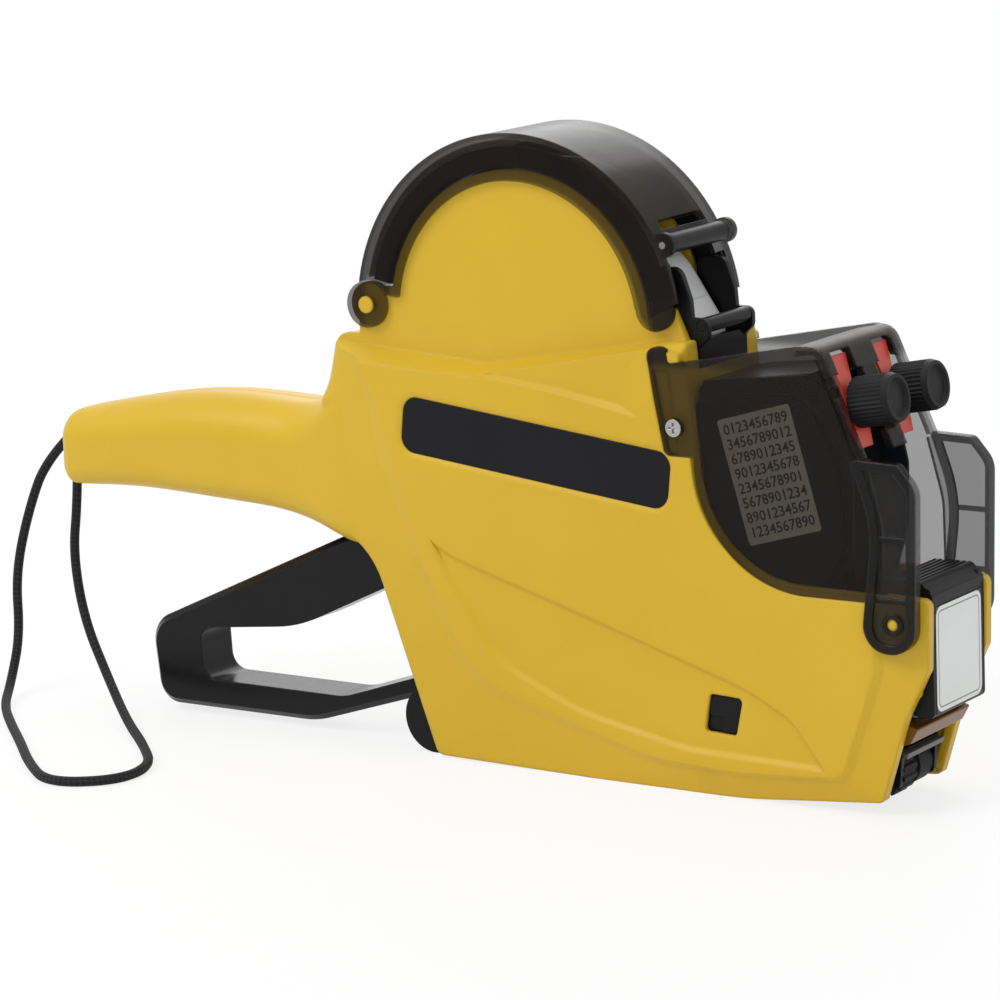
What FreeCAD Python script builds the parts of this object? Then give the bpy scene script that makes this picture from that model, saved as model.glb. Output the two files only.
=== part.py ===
"""Hand-held two-line price labeler: every piece of it, in millimetres.

+X points to the labelling head, +Z up, and the piece stands on Z = 0.  The near side is -Y and
the far side +Y.  The origin is the middle of the flat that it rests on.
"""
import FreeCAD, Part
import math
import os
from FreeCAD import Vector

os.makedirs("parts", exist_ok=True)

# Driving dimensions of the body
BODY_HALF = 18.0          # half width over the flat of the sides
SHELL_WALL = 2.0
RIM_HALF = BODY_HALF - 3.0             # where the sides meet the outline
ROOM_HALF = BODY_HALF - SHELL_WALL     # room behind the flat of the sides
RIM_ROOM = RIM_HALF - SHELL_WALL + 0.2     # room behind the rim
DISC_HALF = RIM_HALF - 2.5             # over the two roll discs
DISC_WALL = 1.8
DISC_R = 35.5
ROLL_X, ROLL_Z = -32.0, 105.0
BOSS_R = 3.6
REAR_ROUND = 4.5          # rounding of the body's upright rear edges
RIDGE_SHARE, RIDGE_HIGH = 0.16, 1.25      # steep last part of the sloping margin
PLATE_SINK = 0.5          # face of the nameplate below the side
PLATE_BED = 1.2

# Roll cover
COVER_R = 44.0
COVER_WALL = 1.7
FLANGE_WALL = 1.4
COVER_HALF = DISC_HALF + FLANGE_WALL + 0.2
FLANGE_IN_R = COVER_R - 11.0
EAR_X, EAR_Z, EAR_R = ROLL_X - COVER_R + 2.5, ROLL_Z + 2.5, 5.5
EAR_PIN_R = 2.0
COVER_FROM, COVER_TO = 29.5, 168.0     # degrees, ends of the arched wall
FLANGE_FROM = 9.0
LINER_IN_R, LINER_OUT_R = DISC_R + 0.5, COVER_R - 3.2
LINER_WALL = 1.6
LINER_FROM, LINER_TO = 11.0, 168.0     # degrees
BAR_X, BAR_Z, BAR_R = ROLL_X + COVER_R - 3.7, ROLL_Z + 20.0, 2.3
BAR_PIN_R = 0.8

# Label roll
LABEL_HALF = 8.0
LABEL_ROLL_R = 29.0
CORE_BORE_R = 12.5
CORE_WALL = 1.5
HUB_FLANGE_R = 16.0
HUB_DEPTH = 3.0
PAPER = 0.25

# Label guide
GUIDE_HALF = DISC_HALF - DISC_WALL - 0.2
GUIDE_PLATE = 1.5
GUIDE_REAR_X = 3.2
GUIDE_ROLLER_X, GUIDE_ROLLER_Z, GUIDE_ROLLER_R = 15.6, 106.6, 1.8
GUIDE_FRONT_X = GUIDE_ROLLER_X - 2.0
GUIDE_STUB_R = 1.2

# Squeeze lever and rocker
PIVOT_X, PIVOT_Z = -28.0, 58.0
SQUEEZE = 10.0            # degrees from rest to fully squeezed
AXLE_R = 2.0
ROCKER_TUBE_R = 5.0
ARM_OUT = RIM_ROOM - 0.8
ARM_IN = ARM_OUT - 2.4
LEVER_HALF = 6.2
LEVER_BEVEL = 1.5
SHELF_Z, SEAT_Z = 22.4, 49.6
SPRING_X = -8.0

# Print heads, measured in the squeezed position, where they stand upright
CHEEK_IN = ARM_OUT + 0.05
CHEEK_OUT = CHEEK_IN + 0.75
SIDE_PLATE_OUT = CHEEK_OUT + 0.65
HEAD_ROOM = SIDE_PLATE_OUT + 0.35
HEAD_Y = CHEEK_IN - 3.15  # half distance between the two selector shafts
HEAD_AXIS_Z = 76.95
TYPE_Y, TYPE_Z = 4.5, 33.6
BELT_IN_R, BELT_THICK = 2.3, 0.6
BELT_FIRST_X, BELT_PITCH, BELT_WIDE, BELT_COUNT = 25.2, 2.5, 2.0, 9
SHAFT_R = 1.5
KNOB_R, KNOB_LONG = 5.75, 9.9
KNOB_BACK_X = 59.4
CHART_THICK = 0.12

# Head cover
HOOD_HALF = BODY_HALF
HOOD_WALL = 1.8
HOOD_SINK = 1.9           # depth of the bed it lies in
WING_HALF = HOOD_HALF + 1.1
SLOT_HALF_WIDE = 6.25
NECK_HALF_WIDE, SLOT_NECK_Z = 4.3, 98.6
HOOD_SCREW_X, HOOD_SCREW_Z = 12.4, 84.7

# Ink holder, peel edge and base
HOLDER_HALF = ARM_OUT - 0.2
HOLDER_FRONT = 73.4
HOLDER_PIN_X, HOLDER_PIN_Z, HOLDER_PIN_R = 69.2, 29.0, 1.0
INK_X, INK_Z, INK_R = 65.6, 38.5, 5.8
APPLY_X, APPLY_Z, APPLY_R = 57.6, 7.9, 5.6
BRACKET_HALF = 8.6        # outside of the bracket that holds the applicator
BRACKET_WALL = 1.2
BASE_X0, BASE_X1, BASE_Z, BASE_THICK = 14.0, 57.0, 30.0, 3.0
BASE_HALF = RIM_ROOM - 0.3
FEED_X, FEED_Z, FEED_R = 33.2, 15.5, 8.6
FEED_HALF = 8.4
TRAY_HALF = ARM_OUT - 0.6
DRUM_X, DRUM_R = -60.5, 8.4
TRAY_AXIS_X = -56.0
TRAY_PIN_R = 1.6
AXLE_HALF = ROOM_HALF - 0.7
FRONT_PIN_HALF = RIM_ROOM + 0.6
PIN_R = 1.5
PEG_R = 1.2
PEEL_PEG_X, PEEL_PEG_Z = 61.0, 18.6
GUIDE_PEG_X, GUIDE_PEG_Z = 7.6, 98.6

# Strap: a loop that leaves the end of the handle, lies on the floor and comes back below it
CORD_R = 1.2
STRAP = [(-173.2, 0, 70.3), (-185.8, 0, 60.6), (-192.4, -1, 46.0), (-196.2, -3, 29.5),
         (-193.4, -6, 14.5), (-192.4, -12, 3.0), (-183.6, -25, 1.25), (-169.4, -39, 1.25),
         (-156.4, -51, 1.25), (-141.0, -66, 1.25), (-125.5, -78, 1.25), (-111.5, -69, 1.25),
         (-112.5, -55, 1.25), (-127.0, -40, 1.25), (-144.0, -25, 1.6), (-159.5, -13, 9.0),
         (-170.7, -7.2, 21.2), (-174.5, -5.5, 37.6), (-172.5, -5, 50.8), (-171.7, -5, 61.8)]

# Fits
RUN = 0.05                # radial clearance of a shaft that turns
GAP = 0.2                 # clearance of one loose piece to another
BED = 0.1                 # clearance of a piece laid in its bed


def vec(x, z, y=0.0):
    return Vector(x, y, z)


def rounded(corners, y):
    """Closed wire in the plane Y = y; a corner (x, z, r) is rounded to radius r."""
    edges, ends = [], []
    count = len(corners)
    for i, corner in enumerate(corners):
        x, z, r = (tuple(corner) + (0,))[:3]
        here = vec(x, z, y)
        if not r:
            ends.append((here, None, here))
            continue
        before = corners[i - 1]
        after = corners[(i + 1) % count]
        back = (vec(before[0], before[1], y) - here).normalize()
        ahead = (vec(after[0], after[1], y) - here).normalize()
        half = back.getAngle(ahead) / 2
        reach = r / math.tan(half)
        middle = (back + ahead).normalize()
        centre = here + middle * (r / math.sin(half))
        ends.append((here + back * reach, centre - middle * r, here + ahead * reach))
    for i, (start, mid, stop) in enumerate(ends):
        if mid is not None:
            edges.append(Part.Arc(start, mid, stop).toShape())
        following = ends[(i + 1) % count][0]
        if stop.distanceToPoint(following) > 1e-6:
            edges.append(Part.LineSegment(stop, following).toShape())
    return Part.Wire(edges)


def slab(corners, y0, y1):
    return Part.Face(rounded(corners, y0)).extrude(Vector(0, y1 - y0, 0))


def loft(corners_a, y_a, corners_b, y_b):
    return Part.makeLoft([rounded(corners_a, y_a), rounded(corners_b, y_b)], True, True)


def rod(x, z, r, y0, y1):
    return Part.makeCylinder(r, y1 - y0, Vector(x, y0, z), Vector(0, 1, 0))


def ring(x, z, r, bore, y0, y1):
    return rod(x, z, r, y0, y1).cut(rod(x, z, bore, y0 - 1, y1 + 1))


def block(x0, x1, y0, y1, z0, z1):
    return Part.makeBox(x1 - x0, y1 - y0, z1 - z0, Vector(x0, y0, z0))


def mirrored(shape):
    return shape.mirror(Vector(0, 0, 0), Vector(0, 1, 0))


def joined(shapes):
    return shapes[0].multiFuse(shapes[1:]).removeSplitter()


def tilted(shape, degrees, x, z):
    """Turn about the line through (x, z) along Y; positive lifts the +X end."""
    out = shape.copy()
    out.rotate(vec(x, z), Vector(0, -1, 0), degrees)
    return out


def at_rest(shape):
    """From the squeezed position back to rest."""
    return tilted(shape, SQUEEZE, PIVOT_X, PIVOT_Z)


def polar(r, degrees):
    a = math.radians(degrees)
    return ROLL_X + r * math.cos(a), ROLL_Z + r * math.sin(a)


def sector(r_out, r_in, start, stop, y0, y1):
    """Ring sector about the roll's axis, angles in degrees from +X towards +Z."""
    mid = (start + stop) / 2
    edges = [
        Part.Arc(*[vec(*polar(r_out, a), y0) for a in (start, mid, stop)]).toShape(),
        Part.LineSegment(vec(*polar(r_out, stop), y0), vec(*polar(r_in, stop), y0)).toShape(),
        Part.Arc(*[vec(*polar(r_in, a), y0) for a in (stop, mid, start)]).toShape(),
        Part.LineSegment(vec(*polar(r_in, start), y0), vec(*polar(r_out, start), y0)).toShape(),
    ]
    return Part.Face(Part.Wire(edges)).extrude(Vector(0, y1 - y0, 0))


def save(name, shape):
    solids = shape.Solids
    assert solids, name
    out = solids[0] if len(solids) == 1 else Part.makeCompound(solids)
    assert out.isValid(), name
    out.exportStep("parts/%s.step" % name)
    box = out.BoundBox
    print("%-22s %2d solids %9.1f mm3  X %.1f..%.1f Y %.1f..%.1f Z %.1f..%.1f" % (
        name, len(solids), out.Volume, box.XMin, box.XMax, box.YMin, box.YMax, box.ZMin, box.ZMax))
    return out


# Outlines of the body: where the sides meet the rim, and the inner edge of the sloping margin
FULL = [(-89.2, 84.0), (-86.8, 87.8, 20), (-83.8, 100.2, 4), (14.5, 103.6, 1), (19.4, 51.2, 26),
        (74.0, 50.2, 2), (73.6, 34.4, 2), (67.9, 22.8, 10), (61.8, 3.2, 1.5), (26, 0, 120),
        (-14, 0, 120), (-57.6, 0.7, 2.5), (-74.6, 49.4, 20), (-88.4, 54.0)]
FLAT = [(-69.5, 85.0), (-72.0, 90.0, 6), (-75.0, 97.0, 3), (13.8, 101.6, 1), (19.2, 51.0, 26),
        (61.0, 50.8, 2), (61.7, 34.0, 3), (59.3, 26.0, 6), (53.0, 8.4, 4), (26, 6.6, 100),
        (4.0, 7.6, 40), (-45.0, 21.8, 24), (-58.2, 48.0, 60), (-66.6, 75.0)]
# Head cover: outline of its side plates, and of the wings in front of them
HOOD_SIDE = [(5.3, 102.7, 2.3), (7.4, 90.7, 30), (9.8, 78.3, 1.5), (17.3, 78.3), (17.4, 49.2, 28),
             (63.9, 49.2), (63.2, 66.0, 20), (57.4, 81.2, 4), (47.0, 105.4, 4), (11.2, 99.0, 1.0),
             (10.6, 102.7, 2.3)]
WING = [(57.2, 81.0, 1.0), (68.6, 80.6, 2), (73.2, 75.2, 6), (72.4, 38.2, 5.9), (59.2, 38.4, 5.9),
        (62.5, 66.0, 30)]
WING_PIN_X, WING_PIN_Z, WING_PIN_R = 67.0, 44.9, 1.3
NAMEPLATE = (-25.9, 76.4, 73.2, 13.4, -6.9)      # centre X and Z, length, height, tilt
LATCH_WINDOW = [(19.2, 24.2, 1.1), (27.8, 23.8, 1.1), (25.9, 15.0, 1.1), (17.6, 15.3, 1.1)]
BODY_SCREWS = [(-163.0, 66.5, 9.4), (-119.0, 71.0, 10.6), (-66.0, 80.0, BODY_HALF - 2.2),
               (0.0, 72.0, BODY_HALF - 2.2), (-28.0, 27.0, BODY_HALF - 3.0),
               (46.5, 16.0, BODY_HALF - 2.4)]     # X, Z, seat of the head
SCREW_R, SCREW_HEAD_R, SCREW_HEAD = 1.4, 2.6, 1.5
HANDLE_END = [(-173.5, 60.6, 71.6, 7.6, 3.0, 5.0), (-172.1, 57.4, 73.7, 9.6, 3.6, 6.0),
              (-170.0, 56.2, 74.9, 10.9, 4.4, 7.4)]
HANDLE = [HANDLE_END[-1], (-160.0, 56.6, 77.0, 11.7, 5.5, 8.8), (-144.0, 56.9, 79.9, 12.4, 6.0, 9.7),
          (-127.0, 56.2, 81.7, 12.7, 6.0, 10.0), (-108.0, 55.2, 81.5, 13.0, 6.0, 10.0),
          (-99.0, 54.0, 81.2, 13.5, 6.0, 9.5), (-92.5, 52.5, 82.6, 14.3, 6.0, 8.5),
          (-86.5, 50.6, 86.5, 15.2, 6.0, 7.5), (-78.0, 48.8, 90.0, 15.5, 6.0, 7.0)]


def handle_section(x, low, high, half, corner, top, inset=0.0):
    """Half section of the handle: rounded top with a crown line, rounded lower edge."""
    low, high, half = low + inset, high - inset, half - inset
    corner, top = max(corner - inset, 1.0), max(top - inset, 1.0)
    root = math.sqrt(0.5)

    def at(y, z):
        return Vector(x, y, z)
    edges = [
        Part.LineSegment(at(0, low), at(-(half - corner), low)).toShape(),
        Part.Arc(at(-(half - corner), low),
                 at(-(half - corner) - corner * root, low + corner * (1 - root)),
                 at(-half, low + corner)).toShape(),
        Part.LineSegment(at(-half, low + corner), at(-half, high - top)).toShape(),
        Part.Arc(at(-half, high - top),
                 at(-(half - top) - top * root, high - top * (1 - root)),
                 at(-(half - top), high)).toShape(),
        Part.LineSegment(at(-(half - top), high), at(0, high)).toShape(),
        Part.LineSegment(at(0, high), at(0, low)).toShape(),
    ]
    return Part.Wire(edges)


def handle_half():
    grip, end = [Part.makeLoft([handle_section(*s) for s in part], True, False)
                 for part in (HANDLE, HANDLE_END)]
    return grip.fuse(end)


def handle_hollow():
    inner = [handle_section(*s, inset=SHELL_WALL + 0.2) for s in HANDLE[1:]]
    return Part.makeLoft(inner, True, False)


def shrunk(corners, inset):
    """Face of an outline in the plane Y = 0, drawn in by inset."""
    return Part.Face(rounded(corners, 0).makeOffset2D(-inset))


def raised(face, y0, y1):
    out = face.copy()
    out.translate(Vector(0, y0, 0))
    return out.extrude(Vector(0, y1 - y0, 0))


def upper_plate():
    """Disc that closes one side of the roll, with the hinge lobe and the horn in front."""
    y0, y1 = -DISC_HALF, -(DISC_HALF - DISC_WALL)
    disc = rod(ROLL_X, ROLL_Z, DISC_R, y0, y1)
    lobe = rod(EAR_X, EAR_Z, EAR_R - 0.2, y0, y1)
    web = slab([(-77.0, 96), (-76.6, 107), (-73, 111.6), (-62, 112), (-60, 96)], y0, y1)
    horn = slab([(0, 92), (1.5, 107.0), (9.6, 111.0, 1.2), (14.4, 100.6), (14.4, 92)], y0, y1)
    return joined([disc, lobe, web, horn])


def disc_bed():
    """What is cut off above the V-shaped step, so that the discs stand back from the sides."""
    low = [(-92, 99.0), (-41.0, 95.4, 10), (17, 104.8), (17, 152), (-92, 152)]
    high = [(-92, 95.4), (-41.0, 92.8, 10), (17, 103.9), (17, 152), (-92, 152)]
    outer = BODY_HALF + 0.8
    return loft(low, -DISC_HALF, high, -BODY_HALF).fuse(slab(high, -outer, -BODY_HALF))


def middle_bed():
    low = [(-37.0, 93.6), (-19.0, 91.6), (-3.0, 88.9), (3.0, 104.0), (-30.0, 104.0)]
    high = [(-43.0, 93.6), (-20.0, 90.6), (4.0, 86.0), (13.0, 104.0), (-40.0, 104.0)]
    return loft(low, -(BODY_HALF - 1.3), high, -(BODY_HALF + 0.02))


def leaf_bed():
    """Leaf-shaped hollow of even depth, inside the ridge that the margin ends in."""
    high = [(-55.6, 54.0), (-51.0, 50.7, 30), (-8.0, 38.0, 300), (30.0, 26.4, 40),
            (41.0, 20.4, 12), (49.2, 9.2), (13.0, 9.9, 40), (-16.0, 15.6, 60),
            (-38.4, 25.4, 24), (-52.4, 45.0, 60)]
    low = [(-54.0, 51.2), (-50.6, 49.2, 30), (-8.2, 36.9, 300), (29.6, 25.3, 40),
           (40.2, 19.6, 12), (47.0, 10.8), (13.2, 11.4, 40), (-15.4, 17.0, 60),
           (-37.2, 26.6, 24), (-50.9, 45.9, 60)]
    return loft(low, -(BODY_HALF - 0.9), high, -(BODY_HALF + 0.02))


def nameplate_outline(shrink):
    x, z, length, height, _ = NAMEPLATE
    a, b, r = length / 2 - shrink, height / 2 - shrink, 3.8 - shrink
    return [(x - a, z - b, r), (x - a, z + b, r), (x + a, z + b, r), (x + a, z - b, r)]


def tilted_plate(shrink, y0, y1):
    x, z, _, _, tilt = NAMEPLATE
    return tilted(slab(nameplate_outline(shrink), y0, y1), tilt, x, z)


def plate_bed():
    """Bed of the nameplate, with a sloping rim round it."""
    x, z, _, _, tilt = NAMEPLATE
    rim = loft(nameplate_outline(0), -(BODY_HALF - PLATE_SINK),
               nameplate_outline(-1.3), -(BODY_HALF + 0.02))
    bed = tilted_plate(0, -(BODY_HALF + 1), -(BODY_HALF - PLATE_BED))
    return tilted(rim, tilt, x, z).fuse(bed)


def grown(corners, extra, y0, y1):
    face = Part.Face(rounded(corners, 0).makeOffset2D(extra))
    return raised(face, y0, y1)


def head_bay():
    """Room for the head to come down between the shells, open at the top."""
    corners = [(15.6, 120), (15.2, 60), (13.6, 34), (13.6, 28), (62, 28), (66, 120)]
    return slab(corners, -HEAD_ROOM, 1)


def rear_drawn_in(depth):
    """The body's outline with its rear edge moved forwards."""
    return [(c[0] + depth,) + tuple(c[1:]) if c[0] < -80 else c for c in FULL]


def body_half():
    """Solid half of the body: rounded rear edges, a sloping margin and the ridge it ends in."""
    steps = [(REAR_ROUND, 0.0), (REAR_ROUND * 0.45, REAR_ROUND * 0.16),
             (REAR_ROUND * 0.14, REAR_ROUND * 0.48), (0.0, REAR_ROUND * 0.84)]
    layers = [slab(FULL, -(RIM_HALF - REAR_ROUND), 0)]
    for (from_rim, depth), (next_from_rim, next_depth) in zip(steps, steps[1:]):
        layers.append(loft(rear_drawn_in(depth), -(RIM_HALF - from_rim),
                           rear_drawn_in(next_depth), -(RIM_HALF - next_from_rim)))
    foot = [(a[0] + (b[0] - a[0]) * RIDGE_SHARE, a[1] + (b[1] - a[1]) * RIDGE_SHARE) + tuple(a[2:])
            for a, b in zip(FLAT, FULL)]
    foot_y = -(BODY_HALF - RIDGE_HIGH)
    layers.append(loft(rear_drawn_in(steps[-1][1]), -RIM_HALF, foot, foot_y))
    layers.append(loft(foot, foot_y, FLAT, -BODY_HALF))
    return joined(layers)


def shell_half():
    outer = joined([body_half(), handle_half(), upper_plate()])
    hollow = joined([
        raised(shrunk(FULL, SHELL_WALL + 0.3), -RIM_ROOM, 1),
        raised(shrunk(FLAT, 4.0), -ROOM_HALF, -(RIM_ROOM - 0.2)),
        handle_hollow(),
        block(-90, -70, -(RIM_ROOM - 2.2), 1, 58, 80),
    ])
    top = slab([(-90, 94.5), (-41, 90.5), (16, 99.5), (16, 152), (-90, 152)],
               -BODY_HALF, -(DISC_HALF - DISC_WALL) - 0.001)
    hollow = hollow.cut(top)
    roll_room = slab([(-95, 101), (-64, 97), (15.5, 97), (15.5, 152), (-95, 152)],
                     -(DISC_HALF - DISC_WALL), 1)
    shell = outer.cut(disc_bed()).cut(hollow).cut(roll_room)
    for cutter in shell_cutters():
        shell = shell.cut(cutter)
    return joined([shell] + shell_bosses()).cut(shell_bores())


def shell_cutters():
    outside = -(BODY_HALF + 4)
    bed = -(HOOD_HALF - HOOD_SINK)
    lever_slot = slab([(-116, 66), (-112, 40), (-75, -2), (-45, -2), (-45, 66)], -(LEVER_HALF + 1), 1)
    drum_room = slab([(-80, -2), (-80, 22.5), (-46, 22.5), (-46, -2)], -(TRAY_HALF + 0.4), 1)
    tray_room = slab([(-60, -2), (-60, 8), (80, 8), (80, -2)], -(TRAY_HALF + 0.4), 1)
    front_room = slab([(55, 4), (55, 62), (90, 62), (90, 4)], -(ARM_OUT + 0.1), 1)
    return [
        middle_bed(),
        leaf_bed(),
        plate_bed(),
        grown(HOOD_SIDE, 0.15, outside, bed),
        grown(WING, 0.25, outside, bed),
        slab(LATCH_WINDOW, outside, -(RIM_ROOM - 3.2)),
        head_bay(), lever_slot, drum_room, tray_room, front_room,
    ]


def shell_bosses():
    """Bosses and shelves on the inside of one shell."""
    wall = -(ROOM_HALF + 0.5)
    rim = -(RIM_ROOM + 0.4)
    bosses = [
        rod(PIVOT_X, PIVOT_Z, BOSS_R + 1.4, wall, -(ARM_OUT + GAP)),
        rod(TRAY_AXIS_X, DRUM_R, 3.4, rim, -(TRAY_HALF + GAP)),
        rod(FEED_X, FEED_Z, BOSS_R, wall, -(FEED_HALF + GAP)),
        rod(EAR_X, EAR_Z, EAR_PIN_R, -(COVER_HALF + 0.3), -DISC_HALF + 0.5),
        rod(WING_PIN_X, WING_PIN_Z, WING_PIN_R, -(HOOD_HALF + 0.7), -(ROOM_HALF - 0.4)),
        rod(HOOD_SCREW_X, HOOD_SCREW_Z, 3.0, -(HOOD_HALF - HOOD_SINK), -(RIM_ROOM - 0.3)),
        block(-14, -2, wall, -0.05, SHELF_Z - 2.4, SHELF_Z),
        block(31, 50, wall, -(BASE_HALF - 1.9), 25.0, BASE_Z - BASE_THICK),
        rod(HOLDER_PIN_X, HOLDER_PIN_Z, HOLDER_PIN_R + 0.8, rim - 0.4, -(ARM_OUT + 0.1)),
    ]
    for x, z, seat in BODY_SCREWS:
        bosses.append(rod(x, z, BOSS_R, -(seat + 1.0), -0.05))
    return bosses


def shell_bores():
    deep = -(BODY_HALF + 3)
    bores = [
        rod(PIVOT_X, PIVOT_Z, AXLE_R + RUN, -AXLE_HALF - GAP, 0),
        rod(TRAY_AXIS_X, DRUM_R, TRAY_PIN_R + RUN, -RIM_ROOM - GAP, 0),
        rod(FEED_X, FEED_Z, PIN_R + RUN, -RIM_ROOM + GAP, 0),
        rod(HOLDER_PIN_X, HOLDER_PIN_Z, HOLDER_PIN_R + RUN, -FRONT_PIN_HALF - GAP, 0),
        rod(APPLY_X, APPLY_Z, PIN_R + RUN, -RIM_ROOM - 2 * GAP, 0),
        rod(PEEL_PEG_X, PEEL_PEG_Z, PEG_R + RUN, -FRONT_PIN_HALF - GAP, 0),
        rod(GUIDE_PEG_X, GUIDE_PEG_Z, PEG_R + RUN, -(DISC_HALF - 0.4), 0),
        rod(HOOD_SCREW_X, HOOD_SCREW_Z, 1.0 + RUN, deep, -(RIM_ROOM - 1.2)),
    ]
    for x, z, _ in BODY_SCREWS:
        bores.append(rod(x, z, SCREW_R + RUN, -8.1, 0))
    return bores[0].multiFuse(bores[1:])


def strap_bore(inner, outer):
    """Hole round one end of the strap, along its end run."""
    inner, outer = Vector(*inner), Vector(*outer)
    along = (inner - outer).normalize()
    return Part.makeCylinder(CORD_R + 0.3, inner.distanceToPoint(outer) + 0.4, outer, along)


def make_shells():
    half = shell_half()
    upper, lower = strap_bore(STRAP[0], STRAP[1]), strap_bore(STRAP[-1], STRAP[-2])
    near = half.cut(upper.fuse(lower))
    far = mirrored(half).cut(upper)
    for x, z, seat in BODY_SCREWS:
        far = far.cut(rod(x, z, SCREW_R + RUN, -1, 30))
        far = far.cut(rod(x, z, SCREW_HEAD_R + GAP, seat - SCREW_HEAD - 0.5, 30))
    save("near_shell", near)
    save("far_shell", far)
    screws = []
    for x, z, seat in BODY_SCREWS:
        top = seat - SCREW_HEAD - 0.5
        head = rod(x, z, SCREW_HEAD_R, top, top + SCREW_HEAD)
        slot = block(x - 2, x + 2, top + 0.7, top + 3, z - 0.35, z + 0.35)
        cross = block(x - 0.35, x + 0.35, top + 0.7, top + 3, z - 2, z + 2)
        screws.append(rod(x, z, SCREW_R, -8.0, top).fuse(head).cut(slot).cut(cross))
    save("body_screws", Part.makeCompound(screws))


def make_nameplates():
    y0, y1 = -(BODY_HALF - PLATE_SINK), -(BODY_HALF - PLATE_BED)
    near = tilted_plate(BED, y0, y1)
    save("near_nameplate", near)
    save("far_nameplate", mirrored(near))


def make_roll_cover():
    flange_in = COVER_HALF - FLANGE_WALL
    wall = sector(COVER_R, COVER_R - COVER_WALL, COVER_FROM, COVER_TO, -COVER_HALF, COVER_HALF)
    slot = sector(COVER_R + 2, COVER_R - 4, COVER_FROM + 1.8, COVER_FROM + 5.0, -9.5, 9.5)
    end_x, end_z = polar((COVER_R + FLANGE_IN_R) / 2 - 0.4, FLANGE_FROM - 1)
    flange = joined([
        sector(COVER_R, FLANGE_IN_R, FLANGE_FROM, 172, -COVER_HALF, -flange_in),
        sector(COVER_R - 0.6, COVER_R - 6.0, 170, 176, -COVER_HALF, -flange_in),
        rod(EAR_X, EAR_Z, EAR_R, -COVER_HALF, -flange_in),
        rod(end_x, end_z, 4.9, -COVER_HALF, -flange_in),
        rod(BAR_X, BAR_Z, BAR_R + 0.6, -COVER_HALF, -flange_in),
    ])
    flange = flange.cut(rod(EAR_X, EAR_Z, EAR_PIN_R + 0.08, -30, 0))
    boss = rod(BAR_X, BAR_Z, 2.4, -flange_in, -(flange_in - 1.0))
    cover = joined([wall.cut(slot), flange, mirrored(flange), boss, mirrored(boss)])
    save("roll_cover", cover.cut(rod(BAR_X, BAR_Z, BAR_PIN_R + RUN, -30, 30)))
    save("cover_bar_pin", rod(BAR_X, BAR_Z, BAR_PIN_R, -COVER_HALF, COVER_HALF))
    liner_in = flange_in - LINER_WALL
    liner = sector(LINER_OUT_R, LINER_IN_R, LINER_FROM, LINER_TO, -flange_in, -liner_in)
    liner = liner.fuse(sector(COVER_R - 0.8, LINER_OUT_R - 1, LINER_FROM, LINER_FROM + 10,
                              -flange_in, -liner_in)).removeSplitter()
    save("cover_liner", Part.makeCompound([liner, mirrored(liner)]))
    bar_half = flange_in - 1.0 - GAP
    save("cover_bar", ring(BAR_X, BAR_Z, BAR_R, BAR_PIN_R + RUN, -bar_half, bar_half))


def make_roll():
    core = ring(ROLL_X, ROLL_Z, CORE_BORE_R + CORE_WALL, CORE_BORE_R, -LABEL_HALF, LABEL_HALF)
    save("roll_core", core)
    save("label_roll", ring(ROLL_X, ROLL_Z, LABEL_ROLL_R, CORE_BORE_R + CORE_WALL,
                            -LABEL_HALF, LABEL_HALF))
    inner = DISC_HALF - DISC_WALL
    flange = ring(ROLL_X, ROLL_Z, HUB_FLANGE_R, 6.0, -inner, -(LABEL_HALF + 0.4))
    stub = ring(ROLL_X, ROLL_Z, CORE_BORE_R - 0.08, 6.0, -(LABEL_HALF + 0.4),
                -(LABEL_HALF - HUB_DEPTH))
    hub = flange.fuse(stub).removeSplitter()
    save("near_roll_hub", hub)
    save("far_roll_hub", mirrored(hub))


def ribbon(corners, thick, half):
    """Thin strip along rounded corners (x, z, r), standing on the left of its path."""
    points = [vec(c[0], c[1], -half) for c in corners]
    edges, here = [], points[0]
    for i in range(1, len(corners) - 1):
        at, r = points[i], corners[i][2]
        back = (points[i - 1] - at).normalize()
        ahead = (points[i + 1] - at).normalize()
        half_angle = back.getAngle(ahead) / 2
        reach = r / math.tan(half_angle)
        middle = (back + ahead).normalize()
        centre = at + middle * (r / math.sin(half_angle))
        start, stop = at + back * reach, at + ahead * reach
        edges.append((here, None, start))
        edges.append((start, centre - middle * r, stop))
        here = stop
    edges.append((here, None, points[-1]))
    pieces = [strip_piece(a, mid, b, thick) for a, mid, b in edges]
    faces = [piece.extrude(Vector(0, 2 * half, 0)) for piece in pieces]
    return joined(faces)


def left_of(direction, thick):
    return Vector(-direction.z, 0, direction.x) * thick


def strip_piece(a, mid, b, thick):
    """Face of one straight or curved length of the strip."""
    if mid is None:
        side = left_of((b - a).normalize(), thick)
        return Part.Face(Part.makePolygon([a, b, b + side, a + side, a]))
    arc = Part.Arc(a, mid, b).toShape()
    t_a, t_b = arc.tangentAt(arc.FirstParameter), arc.tangentAt(arc.LastParameter)
    t_m = (b - a).normalize()
    a2, b2 = a + left_of(t_a, thick), b + left_of(t_b, thick)
    other = Part.Arc(b2, mid + left_of(t_m, thick), a2).toShape()
    return Part.Face(Part.Wire([arc, Part.LineSegment(b, b2).toShape(), other,
                                Part.LineSegment(a2, a).toShape()]))


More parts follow.
